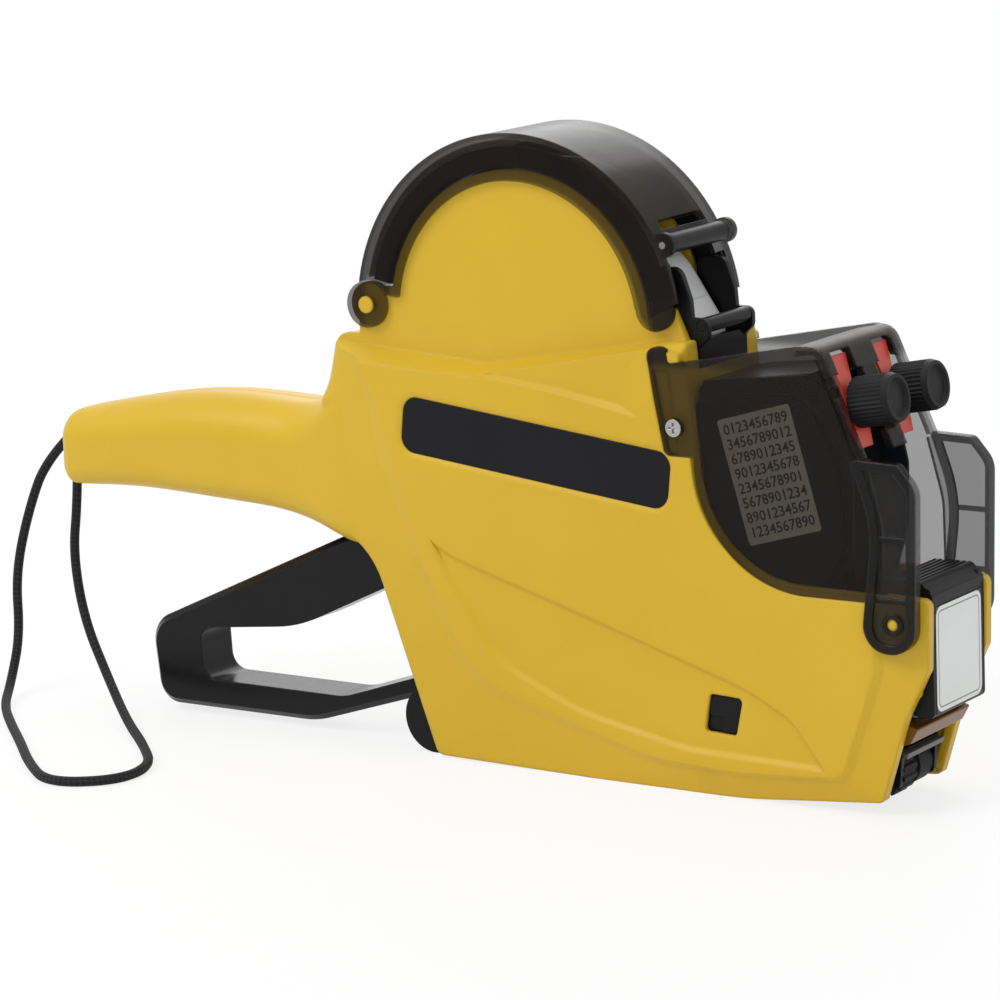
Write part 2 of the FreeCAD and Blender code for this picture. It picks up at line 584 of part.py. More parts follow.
def make_label_path():
    behind_roller = GUIDE_ROLLER_X - GUIDE_ROLLER_R - PAPER - 0.15
    leaves_roll = (*polar(LABEL_ROLL_R + 0.32, 58.0), 0)
    behind_web = behind_roller - 2.4
    route = [leaves_roll, (1.0, 119.0, 14), (behind_web, 104.0, 12), (behind_web, 37.5, 10),
             (18.5, BASE_Z + 0.3, 8), (58.5, BASE_Z + 0.3, 5), (62.6, 21.75, 3),
             (66.8, 21.7)]
    save("label_strip", ribbon(route, PAPER, LABEL_HALF))
    rear, front = GUIDE_REAR_X, GUIDE_FRONT_X
    plate = slab([(rear, 97.2), (rear, 119.2, 2), (front - 3.2, 119.8, 3), (front - 0.6, 112.5, 6),
                  (front, 105.0),
                  (front, 97.2)], -GUIDE_HALF, -(GUIDE_HALF - GUIDE_PLATE))
    inside = GUIDE_HALF - GUIDE_PLATE + 0.2
    cheek_y = -GUIDE_HALF
    front_web = block(front, front + 1.6, -inside, inside, 97.2, 103.4)
    rear_web = block(rear, rear + 2.0, -inside, inside, 97.2, 101.0)
    foot = slab([(rear, 92.0), (rear, 98), (front - 2.2, 98), (front - 2.2, 92.0)], cheek_y,
                cheek_y + GUIDE_PLATE)
    guide = joined([plate, mirrored(plate), foot, mirrored(foot), front_web, rear_web])
    bore = rod(GUIDE_ROLLER_X, GUIDE_ROLLER_Z, GUIDE_STUB_R + RUN, -30, 30)
    lug_x = GUIDE_ROLLER_X + GUIDE_STUB_R + 0.7
    lug = slab([(front - 0.5, 97.2), (front - 0.5, 108.4), (lug_x, 108.4, 1.9),
                (lug_x, 104.0, 2), (front + 1.6, 102.0, 1), (front + 1.6, 97.2)],
               -(GUIDE_HALF - 0.1), -(GUIDE_HALF - GUIDE_PLATE))
    peg = rod(GUIDE_PEG_X, GUIDE_PEG_Z, PEG_R, -(DISC_HALF - 0.5), -(GUIDE_HALF - 0.1))
    guide = joined([guide, lug, mirrored(lug), peg, mirrored(peg)])
    save("label_guide", guide.cut(bore))
    y0 = GUIDE_HALF - GUIDE_PLATE - GAP
    roller = rod(GUIDE_ROLLER_X, GUIDE_ROLLER_Z, GUIDE_ROLLER_R, -y0, y0)
    stub_half = GUIDE_HALF - 0.1
    stub = rod(GUIDE_ROLLER_X, GUIDE_ROLLER_Z, GUIDE_STUB_R, -stub_half, stub_half)
    save("guide_roller", joined([roller, stub]))


def hood_panel():
    """Front panel with its rounded top, and the two slots that the knobs travel in."""
    outer = [(41.5, 104.0, 0), (49.2, 105.4, 4.5), (59.9, 81.0)]
    inner = [(58.0, 80.6), (48.2, 103.2, 3), (41.5, 101.9)]
    panel = slab(outer + inner, -HOOD_HALF + 0.6, HOOD_HALF - 0.6)
    for side in (-1, 1):
        middle = side * HEAD_Y
        slot = slab([(40, SLOT_NECK_Z), (62, SLOT_NECK_Z), (70, 70), (50, 70), (44, 90)],
                    middle - SLOT_HALF_WIDE, middle + SLOT_HALF_WIDE)
        neck = slab([(40, 103.2), (62, 103.2), (62, SLOT_NECK_Z - 1), (40, SLOT_NECK_Z - 1)],
                    middle - NECK_HALF_WIDE, middle + NECK_HALF_WIDE)
        panel = panel.cut(slot.fuse(neck))
    return panel


def make_hood():
    inner = -(HOOD_HALF - HOOD_WALL)
    side = slab(HOOD_SIDE, -HOOD_HALF, inner)
    rim_face = Part.Face(rounded(WING, 0)).cut(shrunk(WING, 2.1))
    wing = joined([
        slab(WING, -(HOOD_HALF + 0.1), inner),
        raised(rim_face, -WING_HALF, -HOOD_HALF),
        block(63.6, 74.0, -(HOOD_HALF + 0.7), -HOOD_HALF, 63.3, 64.5),
        block(63.0, 74.0, -(HOOD_HALF + 0.7), -HOOD_HALF, 49.6, 50.8),
        rod(WING_PIN_X, WING_PIN_Z, WING_PIN_R + 1.3, -WING_HALF, -HOOD_HALF),
    ])
    wing = wing.common(grown(WING, 0.001, -WING_HALF - 1, inner + 1))
    wing = wing.cut(rod(WING_PIN_X, WING_PIN_Z, WING_PIN_R + 0.15, -30, 0))
    lip = slab([(58.2, 80.0), (62.0, 66.0, 20), (62.2, 52.4), (63.6, 52.4), (63.4, 66.0, 20),
                (59.8, 80.6)], inner - 0.3, inner + 1.2)
    half = joined([side, wing, lip])
    half = half.cut(rod(HOOD_SCREW_X, HOOD_SCREW_Z, 1.2, -30, 0))
    half = half.cut(rod(HOOD_SCREW_X, HOOD_SCREW_Z, 2.3, -30, -(HOOD_HALF - 0.6)))
    save("head_cover", joined([half, mirrored(half), hood_panel()]))
    shaft = rod(HOOD_SCREW_X, HOOD_SCREW_Z, 1.0, -(HOOD_HALF - 0.4), -(RIM_ROOM + 0.2))
    head = rod(HOOD_SCREW_X, HOOD_SCREW_Z, 2.0, -(HOOD_HALF + 0.5), -(HOOD_HALF - 0.5))
    x, z = HOOD_SCREW_X, HOOD_SCREW_Z
    cross = block(x - 1.3, x + 1.3, -30, -(HOOD_HALF - 0.1), z - 0.3, z + 0.3)
    cross = cross.fuse(block(x - 0.3, x + 0.3, -30, -(HOOD_HALF - 0.1), z - 1.3, z + 1.3))
    screw = shaft.fuse(head).cut(cross)
    save("hood_screws", Part.makeCompound([screw, mirrored(screw)]))


def make_lever():
    outer = [(-30.0, 66.0, 3), (-62.0, 60.0, 12), (-91.0, 48.4, 40), (-150.6, 22.0, 8),
             (-148.6, 1.8, 6), (-100.5, 1.8, 26), (-72.0, 10.6, 0), (-57.0, 14.8, 4),
             (-47.0, 26.0, 6), (-22.0, 51.0, 3)]
    opening = [(-134.6, 22.2, 3.5), (-104.0, 25.4, 40), (-64.0, 43.6, 4), (-59.6, 19.4, 4),
               (-91.0, 9.2, 14), (-134.0, 9.3, 4.5)]
    b = LEVER_BEVEL
    core = slab(outer, -(LEVER_HALF - b), LEVER_HALF - b)
    inner_face = Part.Face(rounded(outer, 0).makeOffset2D(-b))
    side = Part.makeLoft([rounded(outer, -(LEVER_HALF - b)),
                          shifted(inner_face.OuterWire, -LEVER_HALF)], True, True)
    loop = joined([core, side, mirrored(side)])
    loop = loop.cut(slab(opening, -LEVER_HALF - 1, LEVER_HALF + 1))
    hub = rod(PIVOT_X, PIVOT_Z, ROCKER_TUBE_R + 3.5, -LEVER_HALF, LEVER_HALF)
    loop = joined([loop, hub]).cut(rod(PIVOT_X, PIVOT_Z, ROCKER_TUBE_R + RUN, -30, 30))
    save("squeeze_lever", loop)


def shifted(wire, y):
    out = wire.copy()
    out.translate(Vector(0, y, 0))
    return out


def make_rocker():
    """Carrier on the pivot: a tube, two arms to the print frame and the spring's seat."""
    tube = rod(PIVOT_X, PIVOT_Z, ROCKER_TUBE_R, -ARM_OUT, ARM_OUT)
    arm = slab([(-35.0, 58.0, 5), (-28.0, 66.0, 6), (-4.0, 60.0, 20), (22.2, 58.0, 2),
                (22.2, 44.0, 2), (-6.0, 46.6, 20), (-28.0, 50.0, 6)], -ARM_OUT, -ARM_IN)
    seat = tilted(block(-14, -2, -ARM_OUT, ARM_OUT, SEAT_Z, SEAT_Z + 2.4), -SQUEEZE,
                  PIVOT_X, PIVOT_Z)
    rocker = at_rest(joined([tube, arm, mirrored(arm), seat]))
    save("rocker", rocker.cut(rod(PIVOT_X, PIVOT_Z, AXLE_R + RUN, -30, 30)))
    save("lever_axle", rod(PIVOT_X, PIVOT_Z, AXLE_R, -AXLE_HALF, AXLE_HALF))


def make_print_frame():
    cheek = slab([(18.0, 46.0, 2), (22.0, 86.5, 3), (51.5, 84.6, 5), (55.5, 76.0, 3),
                  (56.4, 60.0, 4), (53.6, 46.0, 4), (48.4, 35.2, 2), (24.6, 37.2, 3)],
                 -CHEEK_OUT, -CHEEK_IN)
    bridge = slab([(22.4, 84.2), (22.6, 86.4), (50.4, 84.9), (50.2, 82.7)], -CHEEK_IN, CHEEK_IN)
    cross = block(24.2, 26.0, -CHEEK_IN, CHEEK_IN, 79.5, 85.0)
    frame = joined([cheek, mirrored(cheek), bridge])
    frame = joined([frame, cross.cut(block(0, 99, -30, 30, 0, 80.2))])
    save("print_frame", at_rest(frame))
    plate = slab([(19.6, 47.0, 2), (20.4, 82.4, 2), (48.2, 80.6, 9), (53.6, 66.0, 8),
                  (52.8, 47.0, 4), (46.4, 37.6, 2), (26.0, 39.4, 2)], -SIDE_PLATE_OUT, -CHEEK_OUT)
    save("near_head_plate", at_rest(plate))
    save("far_head_plate", at_rest(mirrored(plate)))
    chart = slab([(26.6, 49.3, 0.8), (26.6, 78.3, 0.8), (45.8, 78.3, 0.8), (45.8, 49.3, 0.8)],
                 -(SIDE_PLATE_OUT + CHART_THICK), -SIDE_PLATE_OUT)
    chart = tilted(chart, 5.5, 36.2, 63.8)
    save("near_chart", at_rest(chart))
    save("far_chart", at_rest(mirrored(chart)))


def belt(side, x0):
    """One type band round its upper wheel and its lower bar."""
    top = Vector(x0, side * HEAD_Y, HEAD_AXIS_Z)
    low = Vector(x0, side * TYPE_Y, TYPE_Z)
    along = Vector(1, 0, 0)

    def hull(r):
        run = top - low
        across = run.cross(along).normalize() * r
        quad = Part.makePolygon([top + across, low + across, low - across, top - across,
                                 top + across])
        body = Part.Face(quad).extrude(along * BELT_WIDE)
        ends = [Part.makeCylinder(r, BELT_WIDE, p, along) for p in (top, low)]
        return body.multiFuse(ends).removeSplitter()
    return hull(BELT_IN_R + BELT_THICK).cut(hull(BELT_IN_R))


def make_head(side, name):
    """One print head: its block, bands, wheels, selector shaft, knob and pointer."""
    first, last = BELT_FIRST_X, BELT_FIRST_X + BELT_PITCH * (BELT_COUNT - 1) + BELT_WIDE
    y_top, y_low = side * HEAD_Y, side * TYPE_Y
    along = Vector(1, 0, 0)
    plates = []
    for x0, x1 in ((first - 2.6, first - 0.3), (last + 0.3, last + 3.4)):
        low_y, high_y = sorted((side * 0.4, side * (CHEEK_IN - 0.02)))
        plate = block(x0, x1, low_y, high_y, 40.0, 80.0)
        foot_y = sorted((side * 0.6, side * 9.0))
        plates.append(plate.fuse(block(x0, x1, foot_y[0], foot_y[1], 32.0, 40.5)))
    bar = Part.makeCylinder(BELT_IN_R - 0.15, last - first + 2, Vector(first - 1, y_low, TYPE_Z),
                            along)
    core_y = sorted((side * (TYPE_Y + 0.2), side * (TYPE_Y + 2.0)))
    core = block(first - 1, last + 1, core_y[0], core_y[1], TYPE_Z + 3.5, TYPE_Z + 10)
    neck = block(first - 1, last + 1, y_low - 0.8, y_low + 0.8, TYPE_Z, TYPE_Z + 4.5)
    bore = Part.makeCylinder(SHAFT_R + RUN, 80, Vector(first - 20, y_top, HEAD_AXIS_Z), along)
    block_shape = joined(plates + [bar, core, neck]).cut(bore)
    save(name + "_type_block", at_rest(block_shape))
    starts = [BELT_FIRST_X + BELT_PITCH * i for i in range(BELT_COUNT)]
    save(name + "_type_bands", at_rest(Part.makeCompound([belt(side, x) for x in starts])))
    wheels = []
    for x in starts:
        wheel = Part.makeCylinder(BELT_IN_R - 0.05, BELT_WIDE, Vector(x, y_top, HEAD_AXIS_Z), along)
        wheels.append(wheel.cut(bore))
    save(name + "_band_wheels", at_rest(Part.makeCompound(wheels)))
    make_selector(side, name, first)


def make_selector(side, name, first):
    y_top = side * HEAD_Y
    along = Vector(1, 0, 0)
    shaft = Part.makeCylinder(SHAFT_R, KNOB_BACK_X + 6 - (first - 2.0),
                              Vector(first - 2.0, y_top, HEAD_AXIS_Z), along)
    save(name + "_selector_shaft", at_rest(shaft))
    centre = Vector(KNOB_BACK_X, y_top, HEAD_AXIS_Z)
    points = []
    ridges = 36
    for i in range(2 * ridges + 1):
        r = KNOB_R - (0.3 if i % 2 else 0.0)
        a = math.pi * i / ridges
        points.append(centre + Vector(0, r * math.cos(a), r * math.sin(a)))
    grip = Part.Face(Part.makePolygon(points)).extrude(along * (KNOB_LONG - 1.4))
    rim = Part.makeCone(KNOB_R, KNOB_R - 0.5, 1.4, centre + along * (KNOB_LONG - 1.4), along)
    dish = Part.makeCone(KNOB_R - 1.9, KNOB_R - 1.3, 0.8, centre + along * (KNOB_LONG - 0.8),
                         along)
    knob = grip.fuse(rim).cut(dish)
    bore = Part.makeCylinder(SHAFT_R + 0.02, 6.05, centre - along * 0.05, along)
    save(name + "_knob", at_rest(knob.cut(bore)))
    save(name + "_pointer", at_rest(pointer(y_top)))


def pointer(y):
    """Flat flag on the selector shaft, behind the knob: wide above and below, narrow between."""
    along = Vector(1, 0, 0)
    back = KNOB_BACK_X - 2.5
    half = [(3.9, 11.1), (2.5, 4.0), (2.9, 0.0), (3.9, -4.5), (2.3, -10.2)]
    right = [Vector(back, y + w, HEAD_AXIS_Z + h) for w, h in half]
    left = [Vector(back, y - w, HEAD_AXIS_Z + h) for w, h in reversed(half)]
    flag = Part.Face(Part.makePolygon(right + left + right[:1])).extrude(along * 1.0)
    flag = tilted(flag, 10.5, back, HEAD_AXIS_Z)
    collar = Part.makeCylinder(2.6, 2.6, Vector(back - 1.2, y, HEAD_AXIS_Z), along)
    hole = Part.makeCylinder(SHAFT_R + RUN, 30, Vector(back - 9, y, HEAD_AXIS_Z), along)
    return flag.fuse(collar).cut(hole)


def make_print_base():
    plate = slab([(BASE_X0, BASE_Z, 1.5), (BASE_X1, BASE_Z, 2), (BASE_X1, BASE_Z - BASE_THICK),
                  (BASE_X0, BASE_Z - BASE_THICK)], -BASE_HALF, BASE_HALF)
    ear_half = ROOM_HALF - GAP
    ears = block(22, 42, -ear_half, ear_half, BASE_Z - BASE_THICK, BASE_Z - 0.4)
    save("print_base", joined([plate, ears]))
    guide = slab([(55.5, 21.4, 1), (64.4, 21.4, 4), (69.4, 20.2, 0.4), (67.4, 16.6, 0.8),
                  (61.0, 14.9, 1), (55.5, 16.4, 1)], -ARM_OUT, ARM_OUT)
    peg = rod(PEEL_PEG_X, PEEL_PEG_Z, PEG_R, -FRONT_PIN_HALF, FRONT_PIN_HALF)
    guide = guide.fuse(peg).removeSplitter()
    save("peel_guide", guide)
    roof = slab([(50.5, 16.3), (55.4, 16.3), (61.0, 14.7), (63.4, 13.8), (63.3, 12.2),
                 (60.6, 13.3), (55.0, 15.1), (50.5, 15.1)], -BRACKET_HALF, BRACKET_HALF)
    leg = slab([(60.0, 14.0), (63.3, 13.3), (62.6, 5.2, 1), (59.6, 4.0, 1), (55.5, 4.6, 2),
                (55.0, 14.8)], -BRACKET_HALF, -(BRACKET_HALF - BRACKET_WALL))
    bracket = joined([roof, leg, mirrored(leg)])
    save("roller_shield", bracket.cut(rod(APPLY_X, APPLY_Z, PIN_R + RUN, -30, 30)))
    strip = slab([(63.4, 13.4), (64.9, 13.3), (64.5, 12.0), (63.32, 12.1)], -BRACKET_HALF,
                 BRACKET_HALF)
    save("scraper_strip", strip)


def make_ink_holder():
    wall = 1.6
    front = slab([(HOLDER_FRONT - wall, 22.7), (HOLDER_FRONT - wall, 50.6),
                  (HOLDER_FRONT, 50.6), (HOLDER_FRONT, 23.0, 1.5)], -HOLDER_HALF, HOLDER_HALF)
    top = slab([(60.8, 51.6, 0.8), (60.8, 53.2, 0.8), (70.6, 53.4, 2), (HOLDER_FRONT, 50.6, 0.4),
                (HOLDER_FRONT - wall, 49.4, 0.5), (70.0, 51.4, 1)], -HOLDER_HALF, HOLDER_HALF)
    cheek = slab([(60.4, 33.0, 3), (60.8, 53.0, 1), (HOLDER_FRONT - 0.4, 52.0, 1),
                  (HOLDER_FRONT - 0.4, 22.9, 1.6), (69.2, 22.9, 2)], -HOLDER_HALF,
                 -(HOLDER_HALF - wall))
    lug = rod(HOLDER_PIN_X, HOLDER_PIN_Z, 2.0, -HOLDER_HALF, -(HOLDER_HALF - wall))
    shape = joined([front, top, cheek, mirrored(cheek), lug, mirrored(lug)])
    for i in range(6):
        x = 61.6 + 1.5 * i
        shape = shape.cut(block(x, x + 0.7, -20, 20, 52.9, 55))
    shape = shape.cut(rod(HOLDER_PIN_X, HOLDER_PIN_Z, HOLDER_PIN_R + RUN, -30, 30))
    shape = shape.cut(rod(INK_X, INK_Z, 1.0 + RUN, -30, 30))
    bed_half = HOLDER_HALF - 1.2
    bed = block(HOLDER_FRONT - 0.15, HOLDER_FRONT + 1, -bed_half, bed_half, 23.6, 48.0)
    save("ink_holder", shape.cut(bed))
    label_half = bed_half - GAP
    label = slab([(HOLDER_FRONT - 0.15, 23.8), (HOLDER_FRONT - 0.15, 47.8),
                  (HOLDER_FRONT + 0.05, 47.8), (HOLDER_FRONT + 0.05, 23.8)], -label_half,
                 label_half)
    save("holder_label", label)
    roller_half = HOLDER_HALF - wall - 0.4
    save("ink_roller", ring(INK_X, INK_Z, INK_R, 1.0 + RUN, -roller_half, roller_half))
    save("ink_roller_pin", rod(INK_X, INK_Z, 1.0, -HOLDER_HALF, HOLDER_HALF))
    save("holder_pin", rod(HOLDER_PIN_X, HOLDER_PIN_Z, HOLDER_PIN_R, -FRONT_PIN_HALF,
                           FRONT_PIN_HALF))


def make_applicator():
    """Two soft wheels with lengthwise grooves and a waist between them, on one pin."""
    roller_half = BRACKET_HALF - BRACKET_WALL - 0.3
    pin_half = RIM_ROOM + 0.2
    near_wheel = rod(APPLY_X, APPLY_Z, APPLY_R, -roller_half, -1.2)
    far_wheel = rod(APPLY_X, APPLY_Z, APPLY_R - 0.6, 1.2, roller_half)
    waist = rod(APPLY_X, APPLY_Z, APPLY_R - 1.4, -1.3, 1.3)
    roller = joined([near_wheel, waist, far_wheel])
    roller = roller.cut(rod(APPLY_X, APPLY_Z, PIN_R + RUN, -20, 20))
    grooves = []
    count = 14
    for i in range(count):
        a = 2 * math.pi * i / count
        grooves.append(rod(APPLY_X + (APPLY_R + 0.2) * math.cos(a),
                           APPLY_Z + (APPLY_R + 0.2) * math.sin(a), 0.8, -20, 20))
    save("applicator_roller", roller.cut(grooves[0].multiFuse(grooves[1:])))
    save("applicator_pin", rod(APPLY_X, APPLY_Z, PIN_R, -pin_half, pin_half))


def make_feed():
    wheel = rod(FEED_X, FEED_Z, FEED_R - 0.9, -6.5, 6.5)
    teeth = []
    count = 14
    for i in range(count):
        tooth = block(FEED_X + FEED_R - 2.0, FEED_X + FEED_R, -5.0, 5.0, FEED_Z - 0.6,
                      FEED_Z + 0.6)
        teeth.append(tilted(tooth, 360.0 * i / count, FEED_X, FEED_Z))
    hub = rod(FEED_X, FEED_Z, 3.0, -FEED_HALF, FEED_HALF)
    wheel = joined([wheel, hub] + teeth).cut(rod(FEED_X, FEED_Z, PIN_R + RUN, -30, 30))
    save("feed_wheel", wheel)
    axle_half = RIM_ROOM - 2 * GAP
    save("feed_axle", rod(FEED_X, FEED_Z, PIN_R, -axle_half, axle_half))


def make_tray():
    floor = slab([(-57.0, 0), (26.0, 0, 120), (52.4, 2.3, 1), (52.4, 4.1, 0.5), (26.0, 2.0, 120),
                  (-57.0, 2.0)], -TRAY_HALF, TRAY_HALF)
    rib = slab([(-56, 1.8), (-56, 6.0, 2), (-40, 5.0, 4), (12.0, 5.0, 3), (16.0, 1.8)],
               -TRAY_HALF, -(TRAY_HALF - 1.6))
    drum = rod(DRUM_X, DRUM_R, DRUM_R, -TRAY_HALF, -(LEVER_HALF + 1.2))
    cheek = slab([(-60.0, 0.2), (-60.0, 8.0), (-50.0, 6.0, 2), (-46.0, 1.8)], -TRAY_HALF,
                 -(LEVER_HALF + 1.2))
    hub = rod(TRAY_AXIS_X, DRUM_R, 3.0, -(LEVER_HALF + 1.3), LEVER_HALF + 1.3)
    tray = joined([floor, rib, mirrored(rib), drum, mirrored(drum), cheek, mirrored(cheek), hub])
    save("bottom_tray", tray.cut(rod(TRAY_AXIS_X, DRUM_R, TRAY_PIN_R + RUN, -30, 30)))
    save("tray_pin", rod(TRAY_AXIS_X, DRUM_R, TRAY_PIN_R, -RIM_ROOM, RIM_ROOM))


def make_latches():
    inner = -ROOM_HALF
    button = grown(LATCH_WINDOW, -0.3, -(BODY_HALF - 1.4), inner + 0.4)
    flange = grown(LATCH_WINDOW, 1.4, inner + GAP, inner + 1.6)
    groove = slab([(15, 14), (16, 19.4), (22.6, 19.0), (21.6, 14)], -(BODY_HALF + 1),
                  -(BODY_HALF - 2.0))
    latch = joined([button, flange]).cut(groove)
    save("near_latch", latch)
    save("far_latch", mirrored(latch))


def make_spring():
    """Return spring between the shells' shelf and the rocker."""
    r, wire, turns = 3.4, 0.5, 7
    low, high = SHELF_Z + wire + 0.02, SEAT_Z - wire - 0.02
    x = SPRING_X
    helix = Part.makeHelix((high - low) / turns, high - low, r)
    helix.translate(Vector(x, 0, low))
    start = Part.Wire(Part.makeCircle(wire, Vector(x + r, 0, low), Vector(0, 1, 0)))
    spring = Part.Wire(helix.Edges).makePipeShell([start], True, True)
    save("return_spring", spring)


def make_strap():
    points = [Vector(*p) for p in STRAP]
    edges, here = [], points[0]
    radii = []
    for i in range(1, len(points) - 1):
        before, at, after = points[i - 1], points[i], points[i + 1]
        back, ahead = (before - at), (after - at)
        reach = 0.45 * min(back.Length, ahead.Length)
        back.normalize()
        ahead.normalize()
        half = back.getAngle(ahead) / 2
        radius = reach * math.tan(half)
        radii.append(radius)
        centre = at + (back + ahead).normalize() * (radius / math.sin(half))
        start, stop = at + back * reach, at + ahead * reach
        middle = centre + (at - centre).normalize() * radius
        edges.append(Part.LineSegment(here, start).toShape())
        edges.append(Part.Arc(start, middle, stop).toShape())
        here = stop
    edges.append(Part.LineSegment(here, points[-1]).toShape())
    route = Part.Wire(edges)
    first = (points[1] - points[0]).normalize()
    profile = Part.Wire(Part.makeCircle(CORD_R, points[0], first))
    tube = route.makePipeShell([profile], True, True)
    print("strap radii", ["%.1f" % r for r in radii])
    print("strap length %.1f, volume %.1f against %.1f" % (
        route.Length, tube.Volume, route.Length * math.pi * CORD_R ** 2))
    save("wrist_strap", tube)


def main():
    make_shells()
    make_nameplates()
    make_roll_cover()
    make_roll()
    make_label_path()
    make_hood()
    make_lever()
    make_rocker()
    make_print_frame()
    make_head(-1, "near")
    make_head(1, "far")
    make_print_base()
    make_ink_holder()
    make_applicator()
    make_feed()
    make_tray()
    make_latches()
    make_spring()
    make_strap()


main()
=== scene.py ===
"""Looks of the price labeler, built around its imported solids.  Metres, +X to the head, +Z up."""
import math
import bpy
import bmesh
from mathutils import Matrix, Vector


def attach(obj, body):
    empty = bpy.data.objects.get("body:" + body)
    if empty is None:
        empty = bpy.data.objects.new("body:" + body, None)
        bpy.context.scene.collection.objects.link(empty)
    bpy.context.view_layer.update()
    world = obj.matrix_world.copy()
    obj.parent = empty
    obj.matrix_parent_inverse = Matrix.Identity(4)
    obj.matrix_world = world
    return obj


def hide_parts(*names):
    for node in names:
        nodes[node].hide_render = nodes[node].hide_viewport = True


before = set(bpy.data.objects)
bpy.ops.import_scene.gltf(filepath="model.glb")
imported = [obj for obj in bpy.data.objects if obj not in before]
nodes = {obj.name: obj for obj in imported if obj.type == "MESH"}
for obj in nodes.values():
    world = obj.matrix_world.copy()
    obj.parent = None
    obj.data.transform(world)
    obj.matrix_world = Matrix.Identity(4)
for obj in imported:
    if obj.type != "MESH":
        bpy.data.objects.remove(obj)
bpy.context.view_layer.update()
MM = 0.001

# Body sizes that the drawn details follow
NEAR, FAR = -1, 1
ROLL_AXIS = Vector((-0.032, 0, 0.105))
DISC_EDGE, COVER_RIM = 0.0362, 0.043           # radii about the roll's axis
EAR_AXIS, EAR_EDGE = Vector((-0.0735, 0, 0.1075)), 0.0057
WING_FACE, WING_RIM = 0.01805, 0.0184          # from the mid-plane to the hood's wings
HOOD_FRONT_X, HOOD_FRONT_HALF, HOOD_TOP_Z = 0.0415, 0.016, 0.0975
LEVER_PIVOT = Vector((-0.028, 0, 0.058))
SQUEEZE = math.radians(10)


# Camera, where the photograph was taken from
def place_camera():
    data = bpy.data.cameras.new("photo_camera")
    data.lens, data.sensor_width = 147.42, 36.0
    data.clip_start, data.clip_end = 0.05, 20
    camera = bpy.data.objects.new("photo_camera", data)
    right = Vector((0.83201545, 0.55343731, -0.0381763))
    up = Vector((-0.0772988, 0.18380306, 0.97991904))
    back = Vector((0.54934068, -0.8123568, 0.19570703))
    turn = Matrix((right, up, back)).transposed().to_4x4()
    camera.matrix_world = Matrix.Translation((0.48329, -0.78470, 0.24926)) @ turn
    bpy.context.collection.objects.link(camera)
    bpy.context.scene.camera = camera


# Finishes
class Wire:
    """A value that changes over a surface, with the arithmetic used on it."""

    def __init__(self, finish, socket):
        self.finish, self.socket = finish, socket

    def maths(self, operation, a, b):
        return self.finish.node("ShaderNodeMath", {"operation": operation}, {0: a, 1: b})

    def __add__(self, other):
        return self.maths("ADD", self, other)

    def __mul__(self, other):
        return self.maths("MULTIPLY", self, other)

    def __sub__(self, other):
        return self.maths("SUBTRACT", self, other)

    def __rsub__(self, other):
        return self.maths("SUBTRACT", other, self)

    def __gt__(self, other):
        return self.maths("GREATER_THAN", self, other)

    def __lt__(self, other):
        return self.maths("LESS_THAN", self, other)

    def __abs__(self):
        return self.maths("ABSOLUTE", self, 0.0)

    def __mod__(self, other):
        return self.maths("MODULO", self, other)

    __radd__, __rmul__ = __add__, __mul__


class Finish:
    """One material.  Its nodes are made by node(), its shader is fed by feed()."""

    def __init__(self, name, colour, roughness, **constants):
        self.material = bpy.data.materials.new(name)
        self.material.use_nodes = True
        self.tree = self.material.node_tree
        self.shader = self.tree.nodes["Principled BSDF"]
        self.feed({"Base Color": (*colour, 1), "Roughness": roughness})
        self.feed({key.replace("_", " "): value for key, value in constants.items()})
        self.place = self.node("ShaderNodeTexCoord", out="Object")

    def node(self, kind, settings=None, values=None, out=0):
        made = self.tree.nodes.new(kind)
        for key, value in (settings or {}).items():
            if key == "stops":
                ramp = made.color_ramp
                for i, (at, colour) in enumerate(value):
                    stop = ramp.elements[i] if i < 2 else ramp.elements.new(at)
                    stop.position, stop.color = at, (*colour, 1)
            else:
                setattr(made, key, value)
        for key, value in (values or {}).items():
            self.plug(made.inputs[key], value)
        return Wire(self, made.outputs[out])

    def plug(self, socket, value):
        if isinstance(value, Wire):
            self.tree.links.new(value.socket, socket)
        else:
            socket.default_value = value

    def feed(self, values):
        for key, value in values.items():
            self.plug(self.shader.inputs[key], value)
        return self

    def noise(self, per_metre, detail=2.0, place=None):
        return self.node("ShaderNodeTexNoise", {"noise_dimensions": "3D"},
                         {"Vector": place or self.place, "Scale": per_metre, "Detail": detail})

    def axes(self, place=None):
        split = self.node("ShaderNodeSeparateXYZ", values={0: place or self.place}).socket.node
        return [Wire(self, split.outputs[i]) for i in range(3)]

    def between(self, factor, colour_a, colour_b):
        return self.node("ShaderNodeMix", {"data_type": "RGBA"},
                         {0: factor, 6: colour_a if isinstance(colour_a, Wire) else (*colour_a, 1),
                          7: colour_b if isinstance(colour_b, Wire) else (*colour_b, 1)}, out=2)

    def length(self, x, y, z=0.0):
        across = self.node("ShaderNodeCombineXYZ", values={0: x, 1: y, 2: z})
        return self.node("ShaderNodeVectorMath", {"operation": "LENGTH"}, {0: across}, out=1)

    def above_zero(self, value):
        return self.node("ShaderNodeMath", {"operation": "MAXIMUM"}, {0: value, 1: 0.0})

    def steps(self, factor, low, high):
        """0 below low, 1 above high."""
        return self.node("ShaderNodeMapRange", {"interpolation_type": "SMOOTHSTEP"},
                         {"Value": factor, "From Min": low, "From Max": high})

    def relief(self, height, depth, round_edges=0.0):
        values = {"Height": height, "Distance": depth, "Strength": 1.0}
        if round_edges:
            values["Normal"] = self.node("ShaderNodeBevel", {"samples": 6},
                                         {"Radius": round_edges})
        return self.feed({"Normal": self.node("ShaderNodeBump", values=values)})


